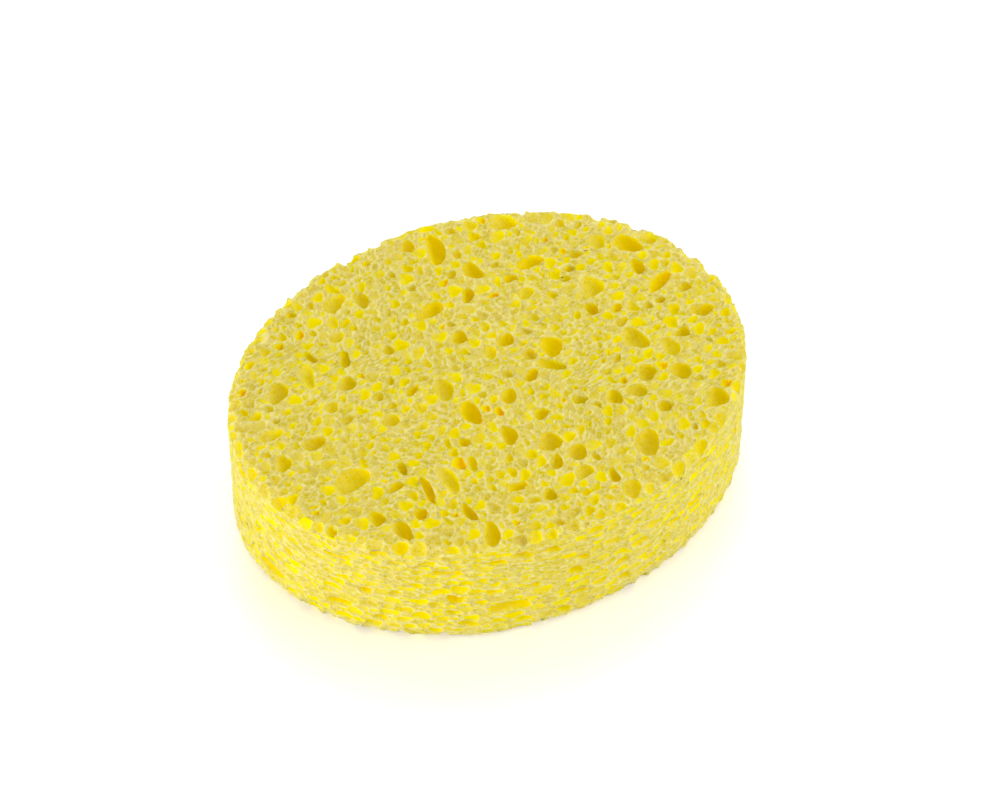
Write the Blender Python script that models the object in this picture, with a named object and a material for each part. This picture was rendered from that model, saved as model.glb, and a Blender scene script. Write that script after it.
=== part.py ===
"""An oval bath sponge, cut from a block of yellow cellulose foam.

The foam is full of bubbles of every size. A blade has cut the oval out of it, so each bubble that
the blade met stands open as a pore. The solid is the cut oval less those bubbles: the large ones
of the top and of the front wall lie where this sponge has them, and seeded ones fill the rest.
Metres, +Z up. The origin is the middle of the underside, and +X is the long way.
"""

import math
import random
from collections import namedtuple

import bmesh
import bpy
from mathutils import Matrix, Vector

# The cut block: an upright wall on an oval outline, with its two rims rounded by wear.
LENGTH = 0.130
WIDTH = 0.103
THICKNESS = 0.034
RIM_RADIUS = 0.0014
RIM_STEPS = 2
OUTLINE_SIDES = 72

# Narrowest land of foam between two pores, and what stays uncut round the middle of the underside.
LAND = 0.0005
REST_SPOT = 0.007

# Seeded pores: how many, and their longest and shortest opening.
SEED = 20
TOP_FILL, TOP_FILL_LONG, TOP_FILL_SHORT = 56, 0.0040, 0.0024
UNDER_FILL, UNDER_FILL_LONG, UNDER_FILL_SHORT = 88, 0.0085, 0.0026
WALL_FILL, WALL_FILL_LONG, WALL_FILL_SHORT = 60, 0.0076, 0.0026
RIM_FILL, RIM_FILL_LONG, RIM_FILL_SHORT = 15, 0.0056, 0.0030
TRIES = 400

# How wide a seeded pore is beside its length, on a face and on the wall, how deep it is beside its
# width, and how far a pore of the wall turns from level, in radians.
FACE_ROUNDNESS = (0.62, 1.0)
WALL_ROUNDNESS = (0.45, 0.75)
FILL_DEPTH = (0.5, 0.85)
WALL_TILT = 0.35

# A bubble's outline departs from an ellipse by a two-lobed and a three-lobed wave.
TWO_LOBES = 0.06
THREE_LOBES = 0.07

# A pore longer than this is cut by a rounder bubble. A dish is a bubble that the blade only skimmed.
LARGE = 0.0050
LARGE_SIDES, LARGE_BANDS = 8, 5
SMALL_SIDES, SMALL_BANDS = 6, 3
DISH_RATIO = 0.5
SKIMMED, HALVED = -0.52, 0.1

MILLIMETRE = 0.001
PERCENT = 0.01

# Large pores of the top, nearest the left end first. The columns are the centre in percent of the
# half length and of the half width, the opening's length and width in millimetres, its turn from
# +X in degrees and its depth in millimetres.
TOP_PORES = (
    (-86, -7, 5.2, 4.2, 70, 2.6),
    (-85, 11, 7.2, 3.8, -8, 1.8),
    (-74, 33, 7.0, 4.8, 58, 3.4),
    (-72, -2, 5.8, 4.8, 0, 3.6),
    (-67, -30, 10.0, 6.2, 14, 3.4),
    (-66, -55, 5.2, 3.6, 112, 3.2),
    (-61, 36, 8.4, 4.4, 78, 1.8),
    (-60, -66, 6.4, 4.2, 95, 3.8),
    (-56, 46, 4.7, 2.4, 115, 2.4),
    (-54, -42, 5.0, 3.1, 8, 3.0),
    (-51, -61, 3.9, 3.4, 90, 3.2),
    (-49, 24, 5.0, 4.4, 20, 3.4),
    (-48, -33, 4.5, 2.7, 92, 3.4),
    (-45, 38, 5.6, 3.1, 72, 3.0),
    (-44, -50, 8.4, 2.5, 88, 3.0),
    (-42, -5, 4.6, 4.0, 10, 2.2),
    (-37, 72, 7.0, 4.6, 35, 2.4),
    (-35, -49, 9.4, 4.6, 92, 2.2),
    (-35, -70, 5.8, 2.8, 95, 3.2),
    (-32, -86, 7.6, 4.2, 76, 3.6),
    (-29, 7, 4.9, 2.5, 26, 2.6),
    (-27, 68, 5.2, 3.9, 95, 2.6),
    (-24, -45, 5.4, 2.3, 77, 2.0),
    (-18, 1, 7.0, 4.8, 85, 2.8),
    (-14, -17, 8.6, 4.4, 90, 4.0),
    (-14, -66, 4.9, 3.1, 0, 3.0),
    (-6, -37, 6.2, 4.2, 80, 3.6),
    (-6, 48, 7.4, 4.9, 14, 3.2),
    (-5, -77, 4.0, 3.6, -40, 3.2),
    (-2, 27, 4.6, 4.2, 0, 3.2),
    (0, 90, 4.4, 3.8, 60, 2.8),
    (2, -16, 5.0, 4.1, 50, 3.0),
    (4, -61, 4.8, 3.3, 62, 3.0),
    (6, -49, 6.3, 5.9, 0, 3.8),
    (9, -32, 4.3, 4.0, 0, 3.2),
    (9, 82, 10.8, 4.4, 77, 4.0),
    (10, 49, 4.8, 3.2, 60, 3.4),
    (11, -72, 4.8, 4.2, 30, 2.2),
    (13, 16, 4.8, 4.3, 60, 3.6),
    (13, -60, 5.3, 4.8, 50, 3.4),
    (14, -9, 4.7, 3.3, 40, 3.2),
    (17, 62, 6.4, 4.3, 100, 3.6),
    (20, -80, 4.7, 2.8, 88, 3.0),
    (23, -90, 5.6, 4.8, 80, 2.4),
    (23, -7, 7.4, 3.8, -42, 3.0),
    (27, 3, 7.0, 5.4, 75, 3.6),
    (37, -38, 4.9, 4.2, 95, 3.2),
    (38, -69, 8.0, 6.2, 70, 3.6),
    (38, 84, 7.8, 5.8, -18, 2.8),
    (38, 55, 7.4, 4.2, 2, 3.4),
    (46, -39, 5.4, 4.2, -15, 2.6),
    (49, 16, 4.7, 3.1, 95, 3.6),
    (52, -53, 4.3, 3.5, -20, 3.0),
    (53, -31, 5.6, 5.0, 80, 3.6),
    (54, 28, 7.4, 6.2, 80, 2.8),
    (57, -10, 7.8, 5.6, 105, 3.2),
    (65, -37, 6.0, 4.8, -52, 3.4),
    (66, 53, 5.6, 5.2, 40, 2.0),
    (67, -22, 6.4, 4.4, 100, 2.2),
    (71, -59, 6.4, 5.7, 80, 3.6),
    (74, 30, 6.0, 3.3, 92, 3.4),
    (76, 45, 8.6, 4.8, -52, 4.2),
    (78, 17, 8.4, 3.7, 27, 3.6),
    (86, -8, 5.7, 4.4, -20, 3.4),
)

# Large pores of the front wall. The columns are the place along the outline in percent of the way
# round, anticlockwise from +X, the height in percent of the thickness, and the rest as above.
WALL_PORES = (
    (48.6, 24, 5.4, 3.6, 20, 2.8),
    (51.5, 47, 4.6, 2.5, 15, 2.2),
    (53.1, 19, 9.0, 4.2, -4, 3.2),
    (53.8, 38, 4.2, 2.7, 5, 2.4),
    (54.8, 53, 3.6, 3.1, 0, 2.4),
    (58.6, 76, 6.9, 2.3, -3, 2.8),
    (58.7, 25, 6.7, 2.7, 4, 2.8),
    (60.5, 46, 3.5, 2.7, -5, 2.4),
    (61.5, 19, 3.8, 2.5, -20, 2.2),
    (62.6, 83, 3.6, 2.0, 0, 2.0),
    (64.6, 84, 4.2, 2.1, 6, 2.2),
    (65.9, 74, 7.8, 2.4, -5, 2.8),
    (66.4, 44, 4.9, 3.4, -15, 2.8),
    (67.2, 16, 5.2, 2.8, -22, 2.2),
    (69.1, 81, 4.8, 2.4, -12, 2.2),
    (70.0, 29, 10.4, 4.4, -8, 3.4),
    (71.5, 48, 4.2, 2.5, -12, 2.2),
    (72.9, 82, 4.4, 2.6, -20, 2.2),
    (74.5, 51, 4.6, 3.4, -35, 2.4),
    (74.7, 26, 4.5, 2.4, -8, 2.2),
    (78.2, 19, 3.7, 2.9, -15, 2.2),
    (79.4, 48, 5.6, 3.0, -15, 2.4),
    (84.5, 45, 6.0, 2.9, -6, 2.8),
    (85.1, 82, 5.2, 3.4, -8, 2.8),
    (90.0, 58, 4.8, 3.2, -15, 2.6),
)

# The look of the foam.
FOAM_COLOUR = (0.77, 0.60, 0.075, 1.0)
FOAM_ROUGHNESS = 0.85

# One pore: its centre in the two coordinates of the face that it opens on, its opening, its turn,
# its depth, and the phases of the two waves in its outline.
Pore = namedtuple("Pore", "u v long short turn depth two three")


class Outline:
    """The oval outline, measured along its own length anticlockwise from +X."""

    STEPS = 1440

    def __init__(self):
        self.points = []
        self.runs = [0.0]
        for step in range(self.STEPS + 1):
            angle = math.tau * step / self.STEPS
            self.points.append(Vector((math.cos(angle) * LENGTH / 2, math.sin(angle) * WIDTH / 2, 0)))
            if step:
                self.runs.append(self.runs[-1] + (self.points[-1] - self.points[-2]).length)
        self.total = self.runs[-1]

    def at(self, run):
        """The point this far along the outline, and the directions along it and out of it."""
        share = (run % self.total) / self.total
        step = int(share * self.STEPS)
        while self.runs[step + 1] < run % self.total:
            step += 1
        while self.runs[step] > run % self.total:
            step -= 1
        part = (run % self.total - self.runs[step]) / (self.runs[step + 1] - self.runs[step])
        point = self.points[step].lerp(self.points[step + 1], part)
        along = (self.points[step + 1] - self.points[step]).normalized()
        return point, along, Vector((along.y, -along.x, 0))

    def inset(self, point):
        """How far inside the outline a point lies, negative outside it."""
        share = math.hypot(point.x / (LENGTH / 2), point.y / (WIDTH / 2))
        steep = math.hypot(point.x / (LENGTH / 2) ** 2, point.y / (WIDTH / 2) ** 2)
        return (1 - share) * share / steep if steep else WIDTH / 2


OUTLINE = Outline()


def top_place(pore):
    """Where a pore of the top opens: the point, the two directions in the face, and the way out."""
    return Vector((pore.u, pore.v, THICKNESS)), Vector((1, 0, 0)), Vector((0, 1, 0)), Vector((0, 0, 1))


def under_place(pore):
    """The same for the underside, which is seen from below."""
    return Vector((pore.u, pore.v, 0)), Vector((1, 0, 0)), Vector((0, -1, 0)), Vector((0, 0, -1))


def wall_place(pore):
    """The same for the wall, where u runs along the outline and v is the height."""
    point, along, out = OUTLINE.at(pore.u)
    return point + Vector((0, 0, pore.v)), along, Vector((0, 0, 1)), out


def rim_place(pore):
    """The same for a rim, where the bubble opens half on the face and half on the wall."""
    point, along, out = OUTLINE.at(pore.u)
    tilted = (out + Vector((0, 0, 1 if pore.v > THICKNESS / 2 else -1))).normalized()
    return point + Vector((0, 0, pore.v)) - tilted * RIM_RADIUS / 2, along, tilted.cross(along), tilted


def reach(pore, du, dv):
    """How far the pore's opening runs from its centre in the direction (du, dv)."""
    angle = math.atan2(dv, du) - pore.turn
    across = math.hypot(pore.short * math.cos(angle), pore.long * math.sin(angle))
    return pore.long * pore.short / across / 2


def stands_clear(pore, others, round_length=None):
    """True if a land is left between the pore and every other on its face."""
    for other in others:
        du = other.u - pore.u
        if round_length:
            du = (du + round_length / 2) % round_length - round_length / 2
        dv = other.v - pore.v
        if math.hypot(du, dv) < reach(pore, du, dv) + reach(other, du, dv) + LAND:
            return False
    return True


def placed(rows, across_u, across_v, chance):
    """The pores of a hand-placed list, with their percents turned into metres."""
    return [
        Pore(
            u * PERCENT * across_u,
            v * PERCENT * across_v,
            long * MILLIMETRE,
            short * MILLIMETRE,
            math.radians(turn),
            depth * MILLIMETRE,
            chance.uniform(0, math.tau),
            chance.uniform(0, math.tau),
        )
        for u, v, long, short, turn, depth in rows
    ]


def sizes_of(count, longest, shortest):
    """Opening lengths from the longest down, with many small ones for each large one."""
    return [longest * (shortest / longest) ** math.sqrt(k / max(1, count - 1)) for k in range(count)]


def seeded(u, v, long, roundness, turn, chance):
    """A pore of this length with the rest of its measures drawn by chance."""
    short = long * chance.uniform(*roundness)
    return Pore(
        u,
        v,
        long,
        short,
        turn,
        short * chance.uniform(*FILL_DEPTH),
        chance.uniform(0, math.tau),
        chance.uniform(0, math.tau),
    )


def fill_face(pores, rims, count, longest, shortest, spot, chance):
    """Adds seeded pores to a flat face, clear of those there, of the rims and of a middle spot."""
    for long in sizes_of(count, longest, shortest):
        for _ in range(TRIES):
            angle = chance.uniform(0, math.tau)
            share = math.sqrt(chance.random())
            u = share * math.cos(angle) * LENGTH / 2
            v = share * math.sin(angle) * WIDTH / 2
            pore = seeded(u, v, long, FACE_ROUNDNESS, chance.uniform(0, math.pi), chance)
            if OUTLINE.inset(Vector((u, v, 0))) < long / 2 + RIM_RADIUS:
                continue
            if math.hypot(u, v) < spot + long / 2:
                continue
            if stands_clear(pore, pores + rims):
                pores.append(pore)
                break


def fill_wall(pores, rims, count, longest, shortest, chance):
    """Adds seeded pores to the wall. The foam rose while it set, so its bubbles lie flat there."""
    for long in sizes_of(count, longest, shortest):
        for _ in range(TRIES):
            u = chance.uniform(0, OUTLINE.total)
            v = chance.uniform(0, THICKNESS)
            turn = chance.uniform(-WALL_TILT, WALL_TILT)
            pore = seeded(u, v, long, WALL_ROUNDNESS, turn, chance)
            if min(v, THICKNESS - v) < pore.short / 2 + RIM_RADIUS:
                continue
            if stands_clear(pore, pores + rims, OUTLINE.total):
                pores.append(pore)
                break


def fill_rim(height, face, wall, chance):
    """Seeded pores that break through a rim, clear of those on the face and on the wall."""
    rim = []
    for long in sizes_of(RIM_FILL, RIM_FILL_LONG, RIM_FILL_SHORT):
        for _ in range(TRIES):
            u = chance.uniform(0, OUTLINE.total)
            pore = seeded(u, height, long, FACE_ROUNDNESS, 0.0, chance)
            if not stands_clear(pore, rim + wall, OUTLINE.total):
                continue
            if stands_clear(face_share(pore), face):
                rim.append(pore)
                break
    return rim


def face_share(pore):
    """What a rim's pore takes of the flat face beside it, as a round pore on the outline."""
    point = OUTLINE.at(pore.u)[0]
    return pore._replace(u=point.x, v=point.y, short=pore.long)


def cut_bubble(cutter, pore, place):
    """Adds the bubble that opens as this pore: a ball stretched to its length, width and depth."""
    large = pore.long > LARGE
    sides = LARGE_SIDES if large else SMALL_SIDES
    bands = LARGE_BANDS if large else SMALL_BANDS
    dish = large and pore.depth < DISH_RATIO * pore.short
    # The share of the ball's own height by which the blade passed above its middle.
    level = SKIMMED if dish else HALVED
    opening = math.sqrt(1 - level**2)
    height = pore.depth / (1 + level)

    ball = bmesh.ops.create_uvsphere(cutter, u_segments=sides, v_segments=bands, radius=1)["verts"]
    for vertex in ball:
        angle = math.atan2(vertex.co.y, vertex.co.x)
        two_lobed = TWO_LOBES * math.cos(2 * angle + pore.two)
        three_lobed = THREE_LOBES * math.cos(3 * angle + pore.three)
        wave = 1 + two_lobed + three_lobed
        vertex.co.x *= wave
        vertex.co.y *= wave

    point, along, across, out = place(pore)
    turned_along = along * math.cos(pore.turn) + across * math.sin(pore.turn)
    turned_across = across * math.cos(pore.turn) - along * math.sin(pore.turn)
    columns = (
        turned_along * pore.long / 2 / opening,
        turned_across * pore.short / 2 / opening,
        out * height,
    )
    matrix = Matrix([[*row] for row in zip(*columns)]).to_4x4()
    matrix.translation = point - out * level * height
    bmesh.ops.transform(cutter, matrix=matrix, verts=ball)


def finished_mesh(mesh_builder, name):
    """The mesh of a bmesh builder, as an object in the scene."""
    mesh = bpy.data.meshes.new(name)
    mesh_builder.to_mesh(mesh)
    mesh_builder.free()
    made = bpy.data.objects.new(name, mesh)
    bpy.context.scene.collection.objects.link(made)
    return made


def cut_block():
    """The oval block with rounded rims, before its bubbles are opened."""
    block = bmesh.new()
    bmesh.ops.create_circle(block, cap_ends=True, segments=OUTLINE_SIDES, radius=1)
    bmesh.ops.scale(block, vec=(LENGTH / 2, WIDTH / 2, 1), verts=block.verts)
    raised = bmesh.ops.extrude_face_region(block, geom=block.faces[:])["geom"]
    lid = [item for item in raised if isinstance(item, bmesh.types.BMVert)]
    bmesh.ops.translate(block, vec=(0, 0, THICKNESS), verts=lid)
    bmesh.ops.recalc_face_normals(block, faces=block.faces)
    rims = [edge for edge in block.edges if edge.verts[0].co.z == edge.verts[1].co.z]
    bmesh.ops.bevel(
        block,
        geom=rims,
        offset=RIM_RADIUS,
        segments=RIM_STEPS,
        profile=0.5,
        affect="EDGES",
    )
    return finished_mesh(block, "sponge")


def bubbles():
    """Every bubble that the blade opened, as one hidden cutter."""
    chance = random.Random(SEED)
    top = placed(TOP_PORES, LENGTH / 2, WIDTH / 2, chance)
    wall = placed(WALL_PORES, OUTLINE.total, THICKNESS, chance)
    under = []
    top_rim = fill_rim(THICKNESS, top, wall, chance)
    under_rim = fill_rim(0.0, under, wall, chance)
    fill_face(
        top,
        [face_share(pore) for pore in top_rim],
        TOP_FILL,
        TOP_FILL_LONG,
        TOP_FILL_SHORT,
        0.0,
        chance,
    )
    fill_face(
        under,
        [face_share(pore) for pore in under_rim],
        UNDER_FILL,
        UNDER_FILL_LONG,
        UNDER_FILL_SHORT,
        REST_SPOT,
        chance,
    )
    fill_wall(wall, top_rim + under_rim, WALL_FILL, WALL_FILL_LONG, WALL_FILL_SHORT, chance)
    print("pores:", len(top), "top,", len(under), "under,", len(wall), "wall,", end=" ")
    print(len(top_rim + under_rim), "rims")

    cutter = bmesh.new()
    for pores, place in (
        (top, top_place),
        (under, under_place),
        (wall, wall_place),
        (top_rim + under_rim, rim_place),
    ):
        for pore in pores:
            cut_bubble(cutter, pore, place)
    made = finished_mesh(cutter, "bubbles")
    made.hide_render = True
    made.display_type = "WIRE"
    return made


def foam():
    """Dyed cellulose foam: dull, without sheen."""
    material = bpy.data.materials.new("yellow cellulose foam")
    material.use_nodes = True
    shader = material.node_tree.nodes["Principled BSDF"]
    shader.inputs["Base Color"].default_value = FOAM_COLOUR
    shader.inputs["Roughness"].default_value = FOAM_ROUGHNESS
    shader.inputs["Metallic"].default_value = 0.0
    return material


def main():
    for old in list(bpy.data.objects):
        bpy.data.objects.remove(old)
    sponge = cut_block()
    opened = sponge.modifiers.new("open the bubbles", "BOOLEAN")
    opened.operation = "DIFFERENCE"
    opened.solver = "EXACT"
    opened.use_self = True
    opened.object = bubbles()
    sponge.data.materials.append(foam())


main()
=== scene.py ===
# %% [markdown]
# # An oval bath sponge of yellow cellulose foam
#
# The sponge is a block of foamed cellulose that a blade has cut to an oval. The foam is full of
# bubbles of every size, so each cut face is all open pores: large ones that show a deep and
# saturated inside, smaller ones between them, and a lace of fine ones in what is left.
# It could be sculpted, or a plane could be displaced by a texture, but a sculpture can't be read
# and a texture can't go round the rims. Here the cut block is one closed grid, and each bubble is
# opened in it by a formula. What is finer than the grid's cells is left to the material.

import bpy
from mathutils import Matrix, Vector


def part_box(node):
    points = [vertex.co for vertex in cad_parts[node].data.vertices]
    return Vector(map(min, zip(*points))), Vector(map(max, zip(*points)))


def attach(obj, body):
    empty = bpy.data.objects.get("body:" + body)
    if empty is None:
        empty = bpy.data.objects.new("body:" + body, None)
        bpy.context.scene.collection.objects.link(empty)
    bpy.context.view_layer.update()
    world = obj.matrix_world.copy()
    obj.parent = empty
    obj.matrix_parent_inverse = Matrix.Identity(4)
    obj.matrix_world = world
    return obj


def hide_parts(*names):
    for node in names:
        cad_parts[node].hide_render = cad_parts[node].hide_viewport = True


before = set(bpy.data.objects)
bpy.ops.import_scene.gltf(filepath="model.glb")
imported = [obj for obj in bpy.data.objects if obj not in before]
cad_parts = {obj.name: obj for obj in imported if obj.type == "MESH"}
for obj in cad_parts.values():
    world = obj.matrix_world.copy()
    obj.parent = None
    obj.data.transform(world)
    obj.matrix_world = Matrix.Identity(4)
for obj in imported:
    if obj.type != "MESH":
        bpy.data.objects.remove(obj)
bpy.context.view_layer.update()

# %% Other modules
import math
import random
from collections import namedtuple

import bpy
import numpy as np
from mathutils import Vector
from mathutils.kdtree import KDTree

# %% [markdown]
# ## Sizes
#
# The overall sizes are read from the solid, so the surface always lies on it. The rounding of the
# rims and everything that places a bubble are the solid's own values, written here again, so that
# each large pore opens where the solid has it.

# %% Overall sizes
MILLIMETRE = 0.001
PERCENT = 0.01
low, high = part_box("sponge")
LENGTH, WIDTH, THICKNESS = high - low
RIM_RADIUS = 0.0014
print("sponge:", [round(side, 4) for side in (LENGTH, WIDTH, THICKNESS)])

# %% Large pores of the top
# The centre in percent of the half length and of the half width, the opening's length and width
# in millimetres, its turn from +X in degrees and its depth in millimetres.
TOP_PORES = (
    (-86, -7, 5.2, 4.2, 70, 2.6),
    (-85, 11, 7.2, 3.8, -8, 1.8),
    (-74, 33, 7.0, 4.8, 58, 3.4),
    (-72, -2, 5.8, 4.8, 0, 3.6),
    (-67, -30, 10.0, 6.2, 14, 3.4),
    (-66, -55, 5.2, 3.6, 112, 3.2),
    (-61, 36, 8.4, 4.4, 78, 1.8),
    (-60, -66, 6.4, 4.2, 95, 3.8),
    (-56, 46, 4.7, 2.4, 115, 2.4),
    (-54, -42, 5.0, 3.1, 8, 3.0),
    (-51, -61, 3.9, 3.4, 90, 3.2),
    (-49, 24, 5.0, 4.4, 20, 3.4),
    (-48, -33, 4.5, 2.7, 92, 3.4),
    (-45, 38, 5.6, 3.1, 72, 3.0),
    (-44, -50, 8.4, 2.5, 88, 3.0),
    (-42, -5, 4.6, 4.0, 10, 2.2),
    (-37, 72, 7.0, 4.6, 35, 2.4),
    (-35, -49, 9.4, 4.6, 92, 2.2),
    (-35, -70, 5.8, 2.8, 95, 3.2),
    (-32, -86, 7.6, 4.2, 76, 3.6),
    (-29, 7, 4.9, 2.5, 26, 2.6),
    (-27, 68, 5.2, 3.9, 95, 2.6),
    (-24, -45, 5.4, 2.3, 77, 2.0),
    (-18, 1, 7.0, 4.8, 85, 2.8),
    (-14, -17, 8.6, 4.4, 90, 4.0),
    (-14, -66, 4.9, 3.1, 0, 3.0),
    (-6, -37, 6.2, 4.2, 80, 3.6),
    (-6, 48, 7.4, 4.9, 14, 3.2),
    (-5, -77, 4.0, 3.6, -40, 3.2),
    (-2, 27, 4.6, 4.2, 0, 3.2),
    (0, 90, 4.4, 3.8, 60, 2.8),
    (2, -16, 5.0, 4.1, 50, 3.0),
    (4, -61, 4.8, 3.3, 62, 3.0),
    (6, -49, 6.3, 5.9, 0, 3.8),
    (9, -32, 4.3, 4.0, 0, 3.2),
    (9, 82, 10.8, 4.4, 77, 4.0),
    (10, 49, 4.8, 3.2, 60, 3.4),
    (11, -72, 4.8, 4.2, 30, 2.2),
    (13, 16, 4.8, 4.3, 60, 3.6),
    (13, -60, 5.3, 4.8, 50, 3.4),
    (14, -9, 4.7, 3.3, 40, 3.2),
    (17, 62, 6.4, 4.3, 100, 3.6),
    (20, -80, 4.7, 2.8, 88, 3.0),
    (23, -90, 5.6, 4.8, 80, 2.4),
    (23, -7, 7.4, 3.8, -42, 3.0),
    (27, 3, 7.0, 5.4, 75, 3.6),
    (37, -38, 4.9, 4.2, 95, 3.2),
    (38, -69, 8.0, 6.2, 70, 3.6),
    (38, 84, 7.8, 5.8, -18, 2.8),
    (38, 55, 7.4, 4.2, 2, 3.4),
    (46, -39, 5.4, 4.2, -15, 2.6),
    (49, 16, 4.7, 3.1, 95, 3.6),
    (52, -53, 4.3, 3.5, -20, 3.0),
    (53, -31, 5.6, 5.0, 80, 3.6),
    (54, 28, 7.4, 6.2, 80, 2.8),
    (57, -10, 7.8, 5.6, 105, 3.2),
    (65, -37, 6.0, 4.8, -52, 3.4),
    (66, 53, 5.6, 5.2, 40, 2.0),
    (67, -22, 6.4, 4.4, 100, 2.2),
    (71, -59, 6.4, 5.7, 80, 3.6),
    (74, 30, 6.0, 3.3, 92, 3.4),
    (76, 45, 8.6, 4.8, -52, 4.2),
    (78, 17, 8.4, 3.7, 27, 3.6),
    (86, -8, 5.7, 4.4, -20, 3.4),
)

# %% Large pores of the front wall
# The place along the outline in percent of the way round, anticlockwise from +X, the height in
# percent of the thickness, and the rest as above.
WALL_PORES = (
    (48.6, 24, 5.4, 3.6, 20, 2.8),
    (51.5, 47, 4.6, 2.5, 15, 2.2),
    (53.1, 19, 9.0, 4.2, -4, 3.2),
    (53.8, 38, 4.2, 2.7, 5, 2.4),
    (54.8, 53, 3.6, 3.1, 0, 2.4),
    (58.6, 76, 6.9, 2.3, -3, 2.8),
    (58.7, 25, 6.7, 2.7, 4, 2.8),
    (60.5, 46, 3.5, 2.7, -5, 2.4),
    (61.5, 19, 3.8, 2.5, -20, 2.2),
    (62.6, 83, 3.6, 2.0, 0, 2.0),
    (64.6, 84, 4.2, 2.1, 6, 2.2),
    (65.9, 74, 7.8, 2.4, -5, 2.8),
    (66.4, 44, 4.9, 3.4, -15, 2.8),
    (67.2, 16, 5.2, 2.8, -22, 2.2),
    (69.1, 81, 4.8, 2.4, -12, 2.2),
    (70.0, 29, 10.4, 4.4, -8, 3.4),
    (71.5, 48, 4.2, 2.5, -12, 2.2),
    (72.9, 82, 4.4, 2.6, -20, 2.2),
    (74.5, 51, 4.6, 3.4, -35, 2.4),
    (74.7, 26, 4.5, 2.4, -8, 2.2),
    (78.2, 19, 3.7, 2.9, -15, 2.2),
    (79.4, 48, 5.6, 3.0, -15, 2.4),
    (84.5, 45, 6.0, 2.9, -6, 2.8),
    (85.1, 82, 5.2, 3.4, -8, 2.8),
    (90.0, 58, 4.8, 3.2, -15, 2.6),
)
print("pores placed by hand:", len(TOP_PORES) + len(WALL_PORES))

# %% Pores that the solid leaves out
# They stand so close to others that the solid has no land left for them. Here each one opens
# wherever the seeded bubbles leave it room.
MORE_TOP_PORES = (
    (-43, 52, 4.0, 3.4, 20, 1.4),
    (-59, 14, 4.2, 3.2, 20, 1.5),
    (-56, 4, 4.4, 2.6, 15, 2.0),
    (-4, 68, 4.1, 2.7, 95, 2.8),
    (20, 74, 4.0, 2.7, 10, 2.4),
    (28, 50, 3.9, 3.0, 15, 2.8),
    (30, 38, 5.0, 3.6, 10, 1.5),
    (36, 33, 3.5, 2.8, 75, 3.0),
    (50, 43, 3.7, 3.3, 0, 3.0),
    (85, 44, 4.8, 4.4, 0, 2.8),
    (74, 6, 3.5, 3.3, 0, 3.0),
    (5, 12, 4.4, 3.6, 90, 1.4),
    (-83, -52, 4.4, 3.2, 110, 2.6),
    (25, -32, 4.1, 3.2, -15, 3.0),
    (49, -21, 4.2, 4.0, 0, 2.4),
    (74, -16, 4.2, 3.9, 0, 3.2),
    (56, -72, 4.2, 3.0, 5, 2.6),
)
MORE_WALL_PORES = (
    (53.8, 61, 3.9, 2.5, 0, 2.2),
    (61.4, 90, 4.6, 2.6, 10, 2.2),
    (66.2, 29, 3.8, 2.6, -10, 2.2),
    (70.8, 84, 5.4, 2.7, -15, 2.2),
    (74.9, 64, 4.2, 2.2, -15, 2.0),
    (82.4, 44, 4.4, 2.4, -5, 2.2),
)

# %% [markdown]
# ## The solid's bubbles
#
# The solid has a few hundred bubbles. The largest of the top and of the front wall are listed and the
# rest are seeded, largest first, each kept clear of those before it. The same draws are made here in the
# same order, so the same bubbles come out.

# %% Values of the seeded bubbles
SEED = 20
LAND = 0.0005
REST_SPOT = 0.007
TOP_FILL, TOP_FILL_LONG, TOP_FILL_SHORT = 56, 0.0040, 0.0024
UNDER_FILL, UNDER_FILL_LONG, UNDER_FILL_SHORT = 88, 0.0085, 0.0026
WALL_FILL, WALL_FILL_LONG, WALL_FILL_SHORT = 60, 0.0076, 0.0026
RIM_FILL, RIM_FILL_LONG, RIM_FILL_SHORT = 15, 0.0056, 0.0030
TRIES = 400
FACE_ROUNDNESS = (0.62, 1.0)
WALL_ROUNDNESS = (0.45, 0.75)
FILL_DEPTH = (0.5, 0.85)
WALL_TILT = 0.35

Pore = namedtuple("Pore", "u v long short turn depth two three")

# %% The outline, measured along its own length
OUTLINE_STEPS = 1440
angles = np.linspace(0, math.tau, OUTLINE_STEPS + 1)
outline = np.stack([np.cos(angles) * LENGTH / 2, np.sin(angles) * WIDTH / 2], axis=1)
runs = np.concatenate([[0.0], np.cumsum(np.hypot(*np.diff(outline, axis=0).T))])
ROUND = float(runs[-1])
print("way round:", round(ROUND, 4))


def outline_at(run):
    """The point this far round the outline, anticlockwise from +X, and the direction along it."""
    run = run % ROUND
    step = min(int(np.searchsorted(runs, run, side="right")) - 1, OUTLINE_STEPS - 1)
    part = (run - runs[step]) / (runs[step + 1] - runs[step])
    point = outline[step] + (outline[step + 1] - outline[step]) * part
    along = outline[step + 1] - outline[step]
    return point, along / np.hypot(*along)


def inset(x, y):
    """How far inside the outline a point lies: the gap in the ellipse's equation over its slope."""
    share = math.hypot(x / (LENGTH / 2), y / (WIDTH / 2))
    steep = math.hypot(x / (LENGTH / 2) ** 2, y / (WIDTH / 2) ** 2)
    return (1 - share) * share / steep if steep else WIDTH / 2


# %% Keeping bubbles apart
def reach(pore, du, dv):
    """How far the pore's opening runs from its centre in a direction: an ellipse's radius there."""
    angle = math.atan2(dv, du) - pore.turn
    across = math.hypot(pore.short * math.cos(angle), pore.long * math.sin(angle))
    return pore.long * pore.short / across / 2


def stands_clear(pore, others, round_length=None):
    """True if a land of foam is left between the pore and every other on its face."""
    for other in others:
        du = other.u - pore.u
        if round_length:
            du = (du + round_length / 2) % round_length - round_length / 2
        dv = other.v - pore.v
        if math.hypot(du, dv) < reach(pore, du, dv) + reach(other, du, dv) + LAND:
            return False
    return True


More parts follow.
